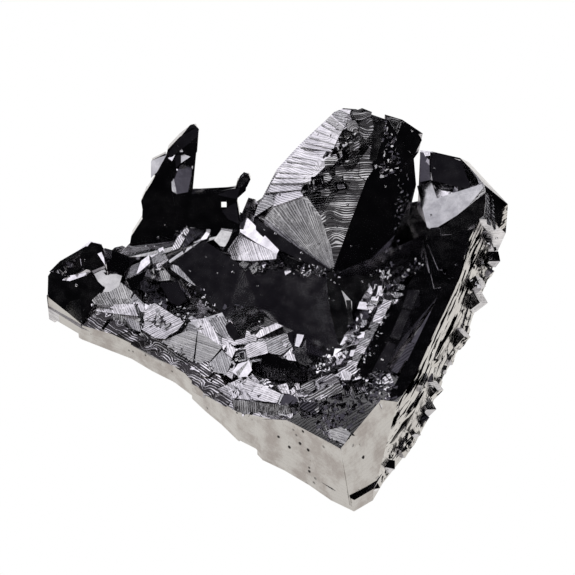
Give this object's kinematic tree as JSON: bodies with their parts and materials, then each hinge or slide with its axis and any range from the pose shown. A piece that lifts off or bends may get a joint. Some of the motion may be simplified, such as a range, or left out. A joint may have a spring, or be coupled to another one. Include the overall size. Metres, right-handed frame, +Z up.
{
  "type": "galena crystal specimen",
  "caption": "Skeletal galena: a thick three-cornered plate with a stepped hollow, a tall blunt crystal, an upright fin with a spire, and blocky crystals along one wall.",
  "frame": {"origin": "middle of the footprint of the bounding box, on the surface the piece rests on", "axes": "+Z up from the resting face; +X to the right along the longest extent; +Y from the front corner towards the tall crystal at the back"},
  "size_m": [0.0974, 0.0888, 0.0341],
  "materials": {
    "galena": "polished"
  },
  "bodies": {
    "root": {"galena": "galena"}
  },
  "joints": []
}
